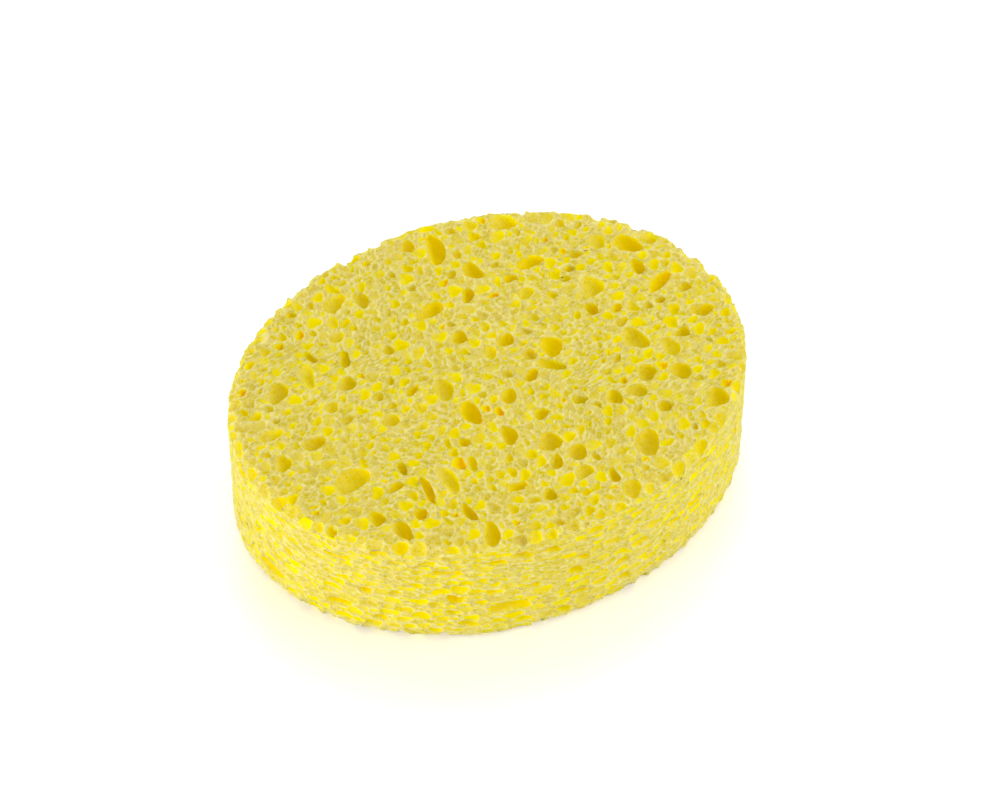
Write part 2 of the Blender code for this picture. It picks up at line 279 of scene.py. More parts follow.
# %% Drawing bubbles
def placed(rows, across_u, across_v, chance):
    """The pores of a given list, with percents and millimetres turned into metres."""
    return [
        Pore(
            u * PERCENT * across_u,
            v * PERCENT * across_v,
            long * MILLIMETRE,
            short * MILLIMETRE,
            math.radians(turn),
            depth * MILLIMETRE,
            chance.uniform(0, math.tau),
            chance.uniform(0, math.tau),
        )
        for u, v, long, short, turn, depth in rows
    ]


def sizes_of(count, longest, shortest):
    """Opening lengths from the longest down, with many small ones for each large one."""
    return [longest * (shortest / longest) ** math.sqrt(k / max(1, count - 1)) for k in range(count)]


def seeded(u, v, long, roundness, turn, chance):
    """A pore of this length with the rest of its measures drawn by chance."""
    short = long * chance.uniform(*roundness)
    return Pore(
        u,
        v,
        long,
        short,
        turn,
        short * chance.uniform(*FILL_DEPTH),
        chance.uniform(0, math.tau),
        chance.uniform(0, math.tau),
    )


def fill_face(pores, rims, count, longest, shortest, spot, chance):
    """Adds seeded pores to a flat face, clear of those there, of the rims and of a middle spot."""
    for long in sizes_of(count, longest, shortest):
        for _ in range(TRIES):
            angle = chance.uniform(0, math.tau)
            share = math.sqrt(chance.random())
            u = share * math.cos(angle) * LENGTH / 2
            v = share * math.sin(angle) * WIDTH / 2
            pore = seeded(u, v, long, FACE_ROUNDNESS, chance.uniform(0, math.pi), chance)
            if inset(u, v) < long / 2 + RIM_RADIUS:
                continue
            if math.hypot(u, v) < spot + long / 2:
                continue
            if stands_clear(pore, pores + rims):
                pores.append(pore)
                break


def fill_wall(pores, rims, count, longest, shortest, chance):
    """Adds seeded pores to the wall. The foam rose while it set, so its bubbles lie flat there."""
    for long in sizes_of(count, longest, shortest):
        for _ in range(TRIES):
            u = chance.uniform(0, ROUND)
            v = chance.uniform(0, THICKNESS)
            pore = seeded(u, v, long, WALL_ROUNDNESS, chance.uniform(-WALL_TILT, WALL_TILT), chance)
            if min(v, THICKNESS - v) < pore.short / 2 + RIM_RADIUS:
                continue
            if stands_clear(pore, pores + rims, ROUND):
                pores.append(pore)
                break


def face_share(pore):
    """What a rim's pore takes of the flat face beside it, as a round pore on the outline."""
    point, _ = outline_at(pore.u)
    return pore._replace(u=float(point[0]), v=float(point[1]), short=pore.long)


def fill_rim(height, face, wall, chance):
    """Seeded pores that break through a rim, clear of those on the face and on the wall."""
    rim = []
    for long in sizes_of(RIM_FILL, RIM_FILL_LONG, RIM_FILL_SHORT):
        for _ in range(TRIES):
            pore = seeded(chance.uniform(0, ROUND), height, long, FACE_ROUNDNESS, 0.0, chance)
            if stands_clear(pore, rim + wall, ROUND) and stands_clear(face_share(pore), face):
                rim.append(pore)
                break
    return rim


# %% All of the solid's bubbles
chance = random.Random(SEED)
top = placed(TOP_PORES, LENGTH / 2, WIDTH / 2, chance)
wall = placed(WALL_PORES, ROUND, THICKNESS, chance)
under = []
top_rim = fill_rim(THICKNESS, top, wall, chance)
under_rim = fill_rim(0.0, under, wall, chance)
top_shares = [face_share(pore) for pore in top_rim]
under_shares = [face_share(pore) for pore in under_rim]
fill_face(top, top_shares, TOP_FILL, TOP_FILL_LONG, TOP_FILL_SHORT, 0.0, chance)
fill_face(under, under_shares, UNDER_FILL, UNDER_FILL_LONG, UNDER_FILL_SHORT, REST_SPOT, chance)
fill_wall(wall, top_rim + under_rim, WALL_FILL, WALL_FILL_LONG, WALL_FILL_SHORT, chance)
both_rims = top_rim + under_rim
print("pores:", len(top), "top,", len(under), "under,", len(wall), "wall,", len(both_rims), "rims")

# %% [markdown]
# ## The cut block as one grid
#
# A block with two oval faces could be a ring of points run round and capped, but a cap's fan has
# slivers at its middle. Here a square grid is pressed into a disc ring by ring, which keeps its
# cells alike, once for the top and once for the underside, and rows round the wall join the two.

# %% Fineness of the grid
CELLS = 168
WORN_RADIUS = 0.0016
RIM_ROWS = 4
WALL_ROWS = 56
CELL = math.sqrt(math.pi / 4 * LENGTH * WIDTH) / CELLS
print("cell of a face:", round(CELL / MILLIMETRE, 3), "mm")


# %% A square grid pressed into a disc
def pressed_disc():
    """Square rings become circles: with |u| >= |v| the radius is u and the angle is an eighth of
    a turn times v / u, and the other way round where |v| is larger."""
    steps = np.linspace(-1, 1, CELLS + 1)
    u, v = np.meshgrid(steps, steps, indexing="ij")
    wide = np.abs(u) >= np.abs(v)
    radius = np.where(wide, u, v)
    other = np.where(wide, v, u)
    angle = math.pi / 4 * other / np.where(radius == 0, 1, radius)
    near, far = radius * np.cos(angle), radius * np.sin(angle)
    return np.where(wide, near, far), np.where(wide, far, near)


# %% The grid of the whole block
def block_grid():
    """Points, outward directions and four-sided faces of the block. A row at an angle t down a rim
    lies at (half side - R + R sin t) on the disc's direction and R cos t above the rim's centre,
    with R the radius to which use has worn the rim."""
    x, y = pressed_disc()
    across = CELLS + 1
    index = np.arange(across * across).reshape(across, across)
    ring = np.concatenate([index[:-1, 0], index[-1, :-1], index[:0:-1, -1], index[0, :0:-1]])
    way = np.stack([x.ravel()[ring], y.ravel()[ring]], axis=1)

    quarter = np.linspace(0, math.pi / 2, RIM_ROWS + 1)
    tilt = np.concatenate([quarter, np.full(WALL_ROWS - 1, math.pi / 2), quarter + math.pi / 2])
    middle = np.concatenate(
        [
            np.full(RIM_ROWS, THICKNESS - WORN_RADIUS),
            np.linspace(THICKNESS - WORN_RADIUS, WORN_RADIUS, WALL_ROWS + 1),
            np.full(RIM_ROWS, WORN_RADIUS),
        ]
    )
    tilt, middle = tilt[1:-1, None], middle[1:-1, None]
    grow = WORN_RADIUS * (np.sin(tilt) - 1)
    side = [
        (LENGTH / 2 + grow) * way[:, 0],
        (WIDTH / 2 + grow) * way[:, 1],
        np.broadcast_to(middle + WORN_RADIUS * np.cos(tilt), (len(tilt), len(ring))),
    ]
    steep = np.stack([way[:, 0] * WIDTH, way[:, 1] * LENGTH], axis=1)
    steep /= np.linalg.norm(steep, axis=1, keepdims=True)
    side_out = [
        np.sin(tilt) * steep[:, 0],
        np.sin(tilt) * steep[:, 1],
        np.broadcast_to(np.cos(tilt), (len(tilt), len(ring))),
    ]

    face_x = x.ravel() * (LENGTH / 2 - WORN_RADIUS)
    face_y = y.ravel() * (WIDTH / 2 - WORN_RADIUS)
    flat = np.zeros_like(face_x)
    points = np.concatenate(
        [
            np.stack([face_x, face_y, flat + THICKNESS], axis=1),
            np.stack(side, axis=-1).reshape(-1, 3),
            np.stack([face_x, face_y, flat], axis=1),
        ]
    )
    outward = np.concatenate(
        [
            np.stack([flat, flat, flat + 1], axis=1),
            np.stack(side_out, axis=-1).reshape(-1, 3),
            np.stack([flat, flat, flat - 1], axis=1),
        ]
    )

    cells = np.stack([index[:-1, :-1], index[1:, :-1], index[1:, 1:], index[:-1, 1:]], axis=-1)
    cells = cells.reshape(-1, 4)
    first_under = len(points) - across * across
    rows = np.arange(across * across, first_under).reshape(len(tilt), len(ring))
    rows = np.vstack([ring, rows, ring + first_under])
    turned = np.roll(rows, -1, axis=1)
    band = np.stack([rows[:-1], rows[1:], turned[1:], turned[:-1]], axis=-1).reshape(-1, 4)
    faces = np.concatenate([cells, band, cells[:, ::-1] + first_under])
    return points, outward, faces


points, outward, faces = block_grid()
block = points.copy()
print("grid:", len(points), "points,", 2 * len(faces), "triangles")

# %% [markdown]
# ## Foam that isn't flat
#
# A blade drags on wet foam, so its cut is never a plane. A few dozen plane waves with seeded
# directions and lengths, added up, give a smooth lumpy field that goes round the rims too. A
# second such field counts at the rims alone, where two cuts meet and the foam tears. Both only
# take away, so that nothing stands out of the solid.

# %% The lumpy cut
LUMP_WAVES = 40
LUMP_LENGTHS = (0.0022, 0.009)
LUMP_DEPTH = 0.0003
RAGGED_LENGTHS = (0.003, 0.009)
RAGGED_DEPTH = 0.0004

draws = np.random.default_rng(SEED)


def lumps(at, count, lengths):
    """Between 0 and 1: a half plus the sum of n sines over sqrt(2 n). The angle of each sine is its
    wave's vector times the point, plus a seeded start."""
    ways = draws.normal(size=(count, 3))
    ways /= np.linalg.norm(ways, axis=1, keepdims=True)
    waves = ways * math.tau / draws.uniform(*lengths, size=(count, 1))
    total = np.sin(at @ waves.T + draws.uniform(0, math.tau, count)).sum(axis=1)
    return np.clip(0.5 + total / math.sqrt(2 * count), 0, 1)


# 0 on the faces and on the wall, and 1 half way round a rim.
edge_share = 4 * outward[:, 2] ** 2 * (1 - outward[:, 2] ** 2)
taken = lumps(block, LUMP_WAVES, LUMP_LENGTHS) * LUMP_DEPTH
taken += lumps(block, LUMP_WAVES, RAGGED_LENGTHS) * edge_share * RAGGED_DEPTH
points -= outward * taken[:, None]
print("most that is taken off:", round(float(taken.max()) / MILLIMETRE, 2), "mm")

# %% [markdown]
# ## Opening a bubble
#
# A Boolean would cut true bubbles, but it leaves slivers and no even grid to shade. Instead the
# grid's own points move. In a bubble's own measure it is a ball of radius 1. A point that lies
# inside it slides down onto the ball's far side, so that the rim stays, the middle goes to the
# bottom and the wall may run back under the rim. Points close to the rim move onto it, and the
# opening is crisp although the grid is coarse. The blade dragged the wet foam along, so every
# bubble leans one way, and those of the wall lean up: a bubble slopes in gently on one side and
# runs under its rim on the other.

# %% A bubble in the grid
# How near an opening a point is moved onto it, in cells, and how squarely a point must face it.
SNAP = 0.46
FACING = 0.25

# In a ball's measure: the highest slice that is told from its top, and how far from the opening's
# level a point may be and still belong to the same face.
TOP_SLICE = 0.98
SAME_FACE = 0.9

# Where the outward direction rises or falls by less than this, the surface is wall.
STEEP = 0.5

# A bubble's outline departs from an ellipse by a two-lobed and a three-lobed wave.
LOBES = (0.06, 0.07)

# The way that the foam was dragged, and how far the bubbles lean that way.
LEAN_WAY = np.array([0.90, -0.44, 0.0])
WALL_LEAN_WAY = np.array([0.30, -0.15, 0.94])
LEAN, SMALL_LEAN = 0.42, 0.3
WALL_LEAN_SHARE = 0.45

# How deep the painted shade and bounce light in a bubble's colour are in its middle, how much deeper they
# are on the side that it leans to, where its wall runs under the rim, and their limits. Then the same for
# the painted highlight on its rim.
PAINTED_SHADE_MIDDLE, WALL_PAINTED_SHADE_MIDDLE, PAINTED_SHADE_SIDE = 0.62, 0.85, 0.5
PAINTED_SHADE_LIMITS = (0.1, 1.1)
RIM_HIGHLIGHT_MIDDLE, RIM_HIGHLIGHT_SIDE = 0.85, 0.15

# For each point: its distance from the nearest opening, whether it is inside a bubble, how deep the
# painted shade of that bubble is there, how much painted highlight a rim has there, and whether it has
# been moved already.
clearance = np.full(len(points), 1.0)
inside = np.zeros(len(points))
painted_pore_shade = np.zeros(len(points))
rim = np.zeros(len(points))
settled = np.zeros(len(points), bool)
on_wall = np.abs(outward[:, 2]) < STEEP


def open_bubble(ids, centre, frame_rows, half, level, waves, lobes, strength, lean_share):
    """Moves the points with these ids onto a bubble.

    In the bubble's measure a point is (a, b, h), with r the length of (a, b). It is inside where
    r < sqrt(1 - h^2). It then moves to the angle t = arccos(-h) * r / sqrt(1 - h^2) up from the
    bottom: r becomes sin t and h becomes -cos t. At last it slides along the lean, in proportion
    to how far it went down.
    """
    local = (points[ids] - centre) @ frame_rows.T / half
    angle = np.arctan2(local[:, 1], local[:, 0])
    wave = 1 + lobes[0] * np.cos(2 * angle + waves[0]) + lobes[1] * np.cos(3 * angle + waves[1])
    plane = np.hypot(local[:, 0], local[:, 1]) / wave
    height = np.clip(local[:, 2], -TOP_SLICE, TOP_SLICE)
    opening = np.sqrt(1 - height**2)
    share = plane / opening
    span = np.hypot(half[0] * np.cos(angle), half[1] * np.sin(angle)) * wave * opening
    gap = (share - 1) * span
    facing = outward_now[ids] @ frame_rows[2] > FACING
    facing &= np.abs(local[:, 2] - level) < SAME_FACE

    free_gap = np.abs(np.where(on_wall[ids], (share - 1) * half[0] * wave * opening, gap))
    clearance[ids] = np.where(facing, np.minimum(clearance[ids], free_gap), clearance[ids])
    free = facing & ~settled[ids]
    on_rim = free & (np.abs(gap) < SNAP * CELL)
    within = free & (gap <= -SNAP * CELL)
    turn = np.where(within, np.arccos(-height) * share, 0)
    new_plane = np.where(on_rim, opening, np.where(within, np.sin(turn), plane)) * wave
    new_height = np.where(within, -np.cos(turn), local[:, 2])
    level_face = abs(frame_rows[2, 2]) > STEEP
    lean = frame_rows[:2] @ (LEAN_WAY if level_face else WALL_LEAN_WAY)
    slide = np.where(within, lean_share * half[2] * (local[:, 2] - new_height), 0)
    slide *= 1 if level_face else WALL_LEAN_SHARE
    moved = np.stack([new_plane * np.cos(angle), new_plane * np.sin(angle), new_height], axis=1)
    moved = moved * half
    moved[:, :2] += slide[:, None] * lean
    moved = moved @ frame_rows + centre
    change = on_rim | within
    points[ids[change]] = moved[change]
    settled[ids[change]] = True
    side = share * (np.cos(angle) * lean[0] + np.sin(angle) * lean[1])
    # A point on a rim gets a painted highlight, brighter on the side that the bubble leans to.
    rim[ids[on_rim]] = RIM_HIGHLIGHT_MIDDLE + RIM_HIGHLIGHT_SIDE * np.clip(side[on_rim], -1, 1)
    inside[ids[within]] = 1
    # A bubble's colour is painted richer and darker, as its shade and the light bounced inside it would
    # make it: by its strength, and most on the side that it leans to.
    middle = PAINTED_SHADE_MIDDLE if level_face else WALL_PAINTED_SHADE_MIDDLE
    painted_shade_here = strength * np.clip(middle + PAINTED_SHADE_SIDE * side[within], *PAINTED_SHADE_LIMITS)
    painted_pore_shade[ids[within]] = np.maximum(painted_pore_shade[ids[within]], painted_shade_here)


# %% Where a bubble of the solid opens
# The level at which the blade cuts a ball: a dish is a large bubble that it only skimmed.
SKIMMED, HALVED = -0.52, 0.25
LARGE = 0.0050
DISH_RATIO = 0.5

# A pore's colour gets more painted shade and bounce light the deeper it is beside its width, give or take
# some chance.
SHALLOW_RATIO, DEEP_RATIO = 0.30, 1.05
TONE_SPREAD, TONES = 0.12, (0.45, 1.05)

# How far beyond its opening a bubble looks for points, since they may have moved.
NEAR = 0.0026


def place_on_face(pore, height, up):
    """Middle of the opening and the rows along, across and out of a flat face."""
    return np.array([pore.u, pore.v, height]), np.array([[1, 0, 0], [0, up, 0], [0, 0, up]], float)


def place_on_wall(pore):
    """The same on the wall, where u runs along the outline and v is the height."""
    point, along = outline_at(pore.u)
    rows = np.array([[*along, 0], [0, 0, 1], [along[1], -along[0], 0]])
    return np.array([*point, pore.v]), rows


def place_on_rim(pore):
    """The same on a rim, where the bubble opens half on the face and half on the wall."""
    middle, rows = place_on_wall(pore)
    tilted = (rows[2] + rows[1] * (1 if pore.v > THICKNESS / 2 else -1)) / math.sqrt(2)
    return middle - tilted * RIM_RADIUS / 2, np.array([rows[0], np.cross(tilted, rows[0]), tilted])


def open_pore(tree, pore, middle, rows):
    """Opens one of the solid's bubbles: a ball stretched to the pore's length, width and depth."""
    dish = pore.long > LARGE and pore.depth < DISH_RATIO * pore.short
    level = SKIMMED if dish else HALVED
    half = np.array([pore.long / 2, pore.short / 2, 0]) / math.sqrt(1 - level**2)
    half[2] = pore.depth / (1 + level)
    turned = np.array(
        [
            rows[0] * math.cos(pore.turn) + rows[1] * math.sin(pore.turn),
            rows[1] * math.cos(pore.turn) - rows[0] * math.sin(pore.turn),
            rows[2],
        ]
    )
    near = tree.find_range(Vector(middle), pore.long / 2 * (1 + sum(LOBES)) + NEAR)
    ids = np.array([hit[1] for hit in near])
    # How deep the pore's painted shade is.
    ratio = (pore.depth / pore.short - SHALLOW_RATIO) / (DEEP_RATIO - SHALLOW_RATIO)
    strength = float(np.clip(ratio + draws.normal(0, TONE_SPREAD), *TONES))
    centre = middle - rows[2] * level * half[2]
    open_bubble(ids, centre, turned, half, level, (pore.two, pore.three), LOBES, strength, LEAN)


def tree_of(at):
    """A tree that finds the points near a place."""
    tree = KDTree(len(at))
    for number, point in enumerate(at):
        tree.insert(point, number)
    tree.balance()
    return tree


# %% Add the pores that the solid leaves out
SHRINK = 0.8
more = 0
for rows, across_u, across_v, kept, others in (
    (MORE_TOP_PORES, LENGTH / 2, WIDTH / 2, top, top_shares),
    (MORE_WALL_PORES, ROUND, THICKNESS, wall, top_rim),
):
    for pore in placed(rows, across_u, across_v, chance):
        for size in (1.0, SHRINK):
            tried = pore._replace(long=pore.long * size, short=pore.short * size)
            if stands_clear(tried, kept + others, ROUND if kept is wall else None):
                kept.append(tried)
                more += 1
                break
print("pores added:", more)

# %% Open the solid's bubbles
outward_now = outward
tree = tree_of(points)
for pore in top:
    open_pore(tree, pore, *place_on_face(pore, THICKNESS, 1))
for pore in under:
    open_pore(tree, pore, *place_on_face(pore, 0.0, -1))
for pore in wall:
    open_pore(tree, pore, *place_on_wall(pore))
for pore in both_rims:
    open_pore(tree, pore, *place_on_rim(pore))
print("points moved by the solid's bubbles:", int(settled.sum()))

# %% [markdown]
# ## Smaller bubbles
#
# Between the solid's bubbles, and in their floors, are thousands of smaller ones. Each is seeded
# at a point of the grid that is still far enough from every rim, largest first, so that they pack
# the foam as real bubbles do.

# %% Outward directions of the opened surface
def outward_of(at):
    """Each point's outward direction: the sum of its faces' diagonals' cross products."""
    crossed = np.cross(at[faces[:, 2]] - at[faces[:, 0]], at[faces[:, 3]] - at[faces[:, 1]])
    total = np.zeros_like(at)
    for corner in range(4):
        np.add.at(total, faces[:, corner], crossed)
    return total / np.linalg.norm(total, axis=1, keepdims=True)


# %% Values of the smaller bubbles
# How many are tried, and the largest and the smallest radius.
SMALL_BUBBLES = 9000
SMALL_LARGEST, SMALL_SMALLEST = 0.0020, 0.0006

# The land between two of them, how much more room than that a snug spot has, and how much wider
# than its room a bubble opens, which leaves only a thin rim beside its neighbour.
SMALL_LAND = 0.00006
SNUG = 1.3
OVERLAP = 1.12
FARTHEST_LOBE = 1.6

# The share of a large bubble's floor that may open again, and how squarely it must face out.
NESTED = 0.02
FLOOR_FACING = 0.6

# Nicks are bubbles that break a rim. They open in this band of outward directions.
NICKS = 280
NICK_SIZES = (0.0006, 0.0017)
NICK_STRETCH = (0.9, 1.4)
EDGE_BAND = (0.3, 0.95)

# Shapes: width beside length, lobes, how much flatter and coarser they are on the wall, how far
# their two lobes turn from level there, and how steep a surface has to be for that.
SMALL_STRETCH = (0.62, 1.0)
SMALL_LOBES = (0.10, 0.12)
WALL_FLATNESS = 0.8
WALL_COARSENESS = 1.15
POINTED = 0.7
SLOPING = 0.5

# How deep their painted shade is, and the share of narrow ones, which have the deepest.
SMALL_TONE, NARROW_TONE, NICK_TONE = 0.85, 1.5, 0.5
WALL_TONE_POWER = 1.3
NARROW = 0.05

# Depths beside the radius, and how much shallower a bubble is that opens close to a large one.
SHALLOWEST, DEEPEST, NICK_DEEPEST = 0.35, 1.0, 1.2
BESIDE, BESIDE_SHARE = 0.0008, 0.6

# %% Where a smaller bubble may open
rise = np.abs(outward[:, 2])
on_edge = (rise > EDGE_BAND[0]) & (rise < EDGE_BAND[1])
coarseness = np.where(on_wall, WALL_COARSENESS, 1.0)
outward_now = outward_of(points)
tree = tree_of(points)
open_ground = (outward_now * outward).sum(axis=1) > FLOOR_FACING
open_ground &= (inside == 0) | (draws.random(len(points)) < NESTED)
settled[:] = rim > 0
from_large = clearance.copy()
print("points where a smaller bubble may open:", int(open_ground.sum()))


def spots_for(radius, ground):
    """The points of this ground with room for this radius, or only the snug ones if there are any."""
    room = ground & (clearance > radius * coarseness + SMALL_LAND)
    snug = np.flatnonzero(room & (clearance < radius * coarseness * SNUG + SMALL_LAND))
    return snug if len(snug) else np.flatnonzero(room)


def rows_at(out):
    """Rows along, across and out of the surface, and whether it slopes. Along is the level way, the
    cross product of up and out, or a way drawn by chance where the surface is flat."""
    along = np.cross([0.0, 0.0, 1.0], out)
    slopes = np.linalg.norm(along) >= SLOPING
    if not slopes:
        turn = draws.uniform(0, math.pi)
        along = np.cross(out, [math.cos(turn), math.sin(turn), 0.0])
    along /= np.linalg.norm(along)
    return np.array([along, np.cross(out, along), out]), slopes


# %% Seed and open the smaller bubbles
opened = 0
for number in range(-NICKS, SMALL_BUBBLES):
    is_nick = number < 0
    if is_nick:
        radius = draws.uniform(*NICK_SIZES)
    else:
        radius = SMALL_LARGEST * (SMALL_SMALLEST / SMALL_LARGEST) ** math.sqrt(number / SMALL_BUBBLES)
    fits = spots_for(radius, open_ground & on_edge if is_nick else open_ground)
    if not len(fits):
        continue
    spot = fits[draws.integers(len(fits))]
    wide = radius * coarseness[spot]
    flatness = draws.uniform(*SMALL_STRETCH)
    rows, slopes = rows_at(outward_now[spot])
    if slopes:
        flatness *= WALL_FLATNESS
    # How deep this bubble's painted shade is, and its depth with it.
    strength = SMALL_TONE * draws.random() ** (WALL_TONE_POWER if on_wall[spot] else 1.0)
    down = SHALLOWEST + (DEEPEST - SHALLOWEST) * strength
    if draws.random() < NARROW and not on_wall[spot]:
        strength, down = NARROW_TONE, DEEPEST
    if is_nick:
        strength = NICK_TONE * draws.random()
        flatness = draws.uniform(*NICK_STRETCH)
        down = draws.uniform(DEEPEST, NICK_DEEPEST)
    if from_large[spot] < wide + BESIDE:
        down *= BESIDE_SHARE
    half = np.array([OVERLAP * wide, OVERLAP * wide * flatness, radius * down])
    near = tree.find_range(Vector(points[spot]), wide * FARTHEST_LOBE + NEAR)
    ids = np.array([hit[1] for hit in near])
    waves = draws.uniform(0, math.tau, 2)
    if on_wall[spot]:
        waves[0] = draws.uniform(-POINTED, POINTED)
    open_bubble(ids, points[spot].copy(), rows, half, 0.0, waves, SMALL_LOBES, strength, SMALL_LEAN)
    opened += 1

# Nothing may hang below the underside, where the sponge lies on the table, or stand above its top.
points[:, 2] = np.clip(points[:, 2], 0, THICKNESS)
covered = (inside > 0) | (rim > 0)
print("smaller bubbles:", opened, "covered:", round(float(covered.mean()), 3))

# %% [markdown]
# ## The mesh
#
# The arrays go into the mesh whole. Three numbers ride on the points for the material: whether a point is
# inside a bubble, how deep the painted shade in that bubble is, and how much painted highlight shows on a
# rim there.

# %% Make the sponge's mesh
mesh = bpy.data.meshes.new("sponge_foam")
mesh.from_pydata(points, [], faces)
mesh.shade_smooth()
# Besides whether a point is inside a bubble: the painted shade of the bubble and the painted highlight of
# a rim.
for name, values in (("inside", inside), ("painted_pore_shade", painted_pore_shade), ("rim", rim)):
    layer = mesh.attributes.new(name, "FLOAT", "POINT")
    layer.data.foreach_set("value", values.astype(np.float32))
sponge = bpy.data.objects.new("sponge_foam", mesh)
bpy.context.scene.collection.objects.link(sponge)
print("triangles:", sum(len(face.vertices) - 2 for face in mesh.polygons))

# %% [markdown]
# ## Materials
#
# Regenerated cellulose is a clear, soft solid like damp paper. Dyed yellow and foamed, it is pale where
# the blade has roughened it. The shade in its pits and bubbles and the light that bounces between their
# walls are painted into its colour, richer and darker, and its thin rims get a painted highlight.

# %% Colours and one way to add a node
def srgb(code):
    """A hex colour as linear light: c / 12.92 below 0.04045, else ((c + 0.055) / 1.055) ^ 2.4."""
    parts = [int(code[k : k + 2], 16) / 255 for k in (1, 3, 5)]
    return (*[c / 12.92 if c <= 0.04045 else ((c + 0.055) / 1.055) ** 2.4 for c in parts], 1.0)


def add(tree, kind, inputs=None, **settings):
    """Adds a node with its settings, and sets or links each named or numbered input."""
    node = tree.nodes.new(kind)
    for name, value in settings.items():
        setattr(node, name, value)
    for name, value in (inputs or {}).items():
        if isinstance(value, bpy.types.NodeSocket):
            tree.links.new(value, node.inputs[name])
        else:
            node.inputs[name].default_value = value
    return node


def new_material(name):
    """An empty node material with only its output."""
    material = bpy.data.materials.new(name)
    material.use_nodes = True
    tree = material.node_tree
    tree.nodes.clear()
    return material, tree, tree.nodes.new("ShaderNodeOutputMaterial")


# %% Values of the foam's material
# The finest bubbles are 0.1 to 0.5 mm across. They wouldn't show from here, so they are drawn in
# two coarser sizes: a lace, and a finer one that counts for less.
LACE_CELL, FINE_CELL = 0.00115, 0.00065
FINE_SHARE = 0.4

# How wide the ridge between two of them is beside a cell, how deep the shallowest is beside the deepest,
# and how dark the painted shade in all of them is.
RIDGE = (0.04, 0.16)
SHALLOWEST_CELL = 0.1
PIT_SHADE_SHARE = 0.9

# Nearly all of a noise, and of a cell's random value, lies between these.
NOISE_RANGE = (0.3, 0.7)

# Noise that bends the cells, and noise that mottles the inside of a bubble, as size and depth.
BEND_SIZE, BEND_DEPTH = 0.0015, 0.0007
MOTTLE_SIZE, MOTTLE_DEPTH = 0.0009, 0.13

# The foam rose while it set, so a bubble is this much wider than it is high.
FLATTENED = 1.5

# The foam between bubbles, the painted shade of the fine pits in it, and the painted highlight of the
# thin rims. Then a bubble's colour with painted shade and bounce light, from the least to the most.
LAND_SHADE, PAINTED_PIT_SHADE, PAINTED_RIM_HIGHLIGHT = "#E0D07C", "#D4BE12", "#F4E696"
PAINTED_BUBBLE_SHADES = (
    (0.0, "#ECD830"),
    (0.2, "#F6E405"),
    (0.45, "#FCE600"),
    (0.78, "#FFE200"),
    (1.0, "#FFC800"),
)

# Where the inside of a bubble begins and where its colour is full, and up to which painted shade a bubble
# is partly land, so that a shallow bubble and the lit side of one show the land through.
HOLLOW_EDGE = (0.05, 0.42)
FULL_TONE, LEAST_COVER = 0.35, 0.25

# How sharply the painted highlight of a rim ends, how much of it shows, and how strong the bump is on
# land and in a bubble.
RIM_HIGHLIGHT_POWER, RIM_HIGHLIGHT_COVER = 2.5, 0.85
LAND_BUMP, HOLLOW_BUMP = 0.9, 0.4
BUMP_DEPTH = 0.00018


# %% Patterns of the foam
def bent_place(tree, place):
    """The place, moved about by noise and stretched upwards, so that cells drawn on it are flat."""
    bend = add(tree, "ShaderNodeTexNoise", {"Vector": place, "Scale": 1 / BEND_SIZE, "Detail": 2.0})
    shifted = add(
        tree,
        "ShaderNodeVectorMath",
        {0: bend.outputs["Color"], 1: (BEND_DEPTH, BEND_DEPTH, BEND_DEPTH), 2: place},
        operation="MULTIPLY_ADD",
    )
    stretched = add(
        tree,
        "ShaderNodeVectorMath",
        {0: shifted.outputs[0], 1: (1, 1, FLATTENED)},
        operation="MULTIPLY",
    )
    return stretched.outputs[0]


def fine_bubbles(tree, place, cell):
    """Pits of one size: 0 on the ridge between two cells, and a random depth well inside."""
    ridges = add(
        tree,
        "ShaderNodeTexVoronoi",
        {"Vector": place, "Scale": 1 / cell},
        feature="DISTANCE_TO_EDGE",
    )
    hollows = add(
        tree,
        "ShaderNodeMapRange",
        {"Value": ridges.outputs["Distance"], "From Min": RIDGE[0], "From Max": RIDGE[1]},
        interpolation_type="SMOOTHSTEP",
    )
    which = add(tree, "ShaderNodeTexVoronoi", {"Vector": place, "Scale": 1 / cell})
    depth = add(
        tree,
        "ShaderNodeMapRange",
        {
            "Value": which.outputs["Color"],
            "From Min": NOISE_RANGE[0],
            "From Max": NOISE_RANGE[1],
            "To Min": SHALLOWEST_CELL,
        },
    )
    pits = add(tree, "ShaderNodeMath", {0: hollows.outputs[0], 1: depth.outputs[0]}, operation="MULTIPLY")
    return pits.outputs[0]


def painted_bubble_shade(tree, place, painted_pore_shade):
    """The colour inside a bubble, with painted shade and bounce light: a ramp over its painted shade plus
    some mottling.
    """
    mottle = add(tree, "ShaderNodeTexNoise", {"Vector": place, "Scale": 1 / MOTTLE_SIZE, "Detail": 3.0})
    mottled = add(
        tree,
        "ShaderNodeMapRange",
        {
            "Value": mottle.outputs["Fac"],
            "From Min": NOISE_RANGE[0],
            "From Max": NOISE_RANGE[1],
            "To Min": -MOTTLE_DEPTH,
            "To Max": MOTTLE_DEPTH,
        },
    )
    spotted = add(tree, "ShaderNodeMath", {0: painted_pore_shade, 1: mottled.outputs[0]}, operation="ADD")
    ramp = add(tree, "ShaderNodeValToRGB", {"Fac": spotted.outputs[0]})
    stops = ramp.color_ramp.elements
    for stop, (position, code) in zip(stops, (PAINTED_BUBBLE_SHADES[0], PAINTED_BUBBLE_SHADES[-1])):
        stop.position, stop.color = position, srgb(code)
    for position, code in PAINTED_BUBBLE_SHADES[1:-1]:
        stops.new(position).color = srgb(code)
    return ramp.outputs["Color"]


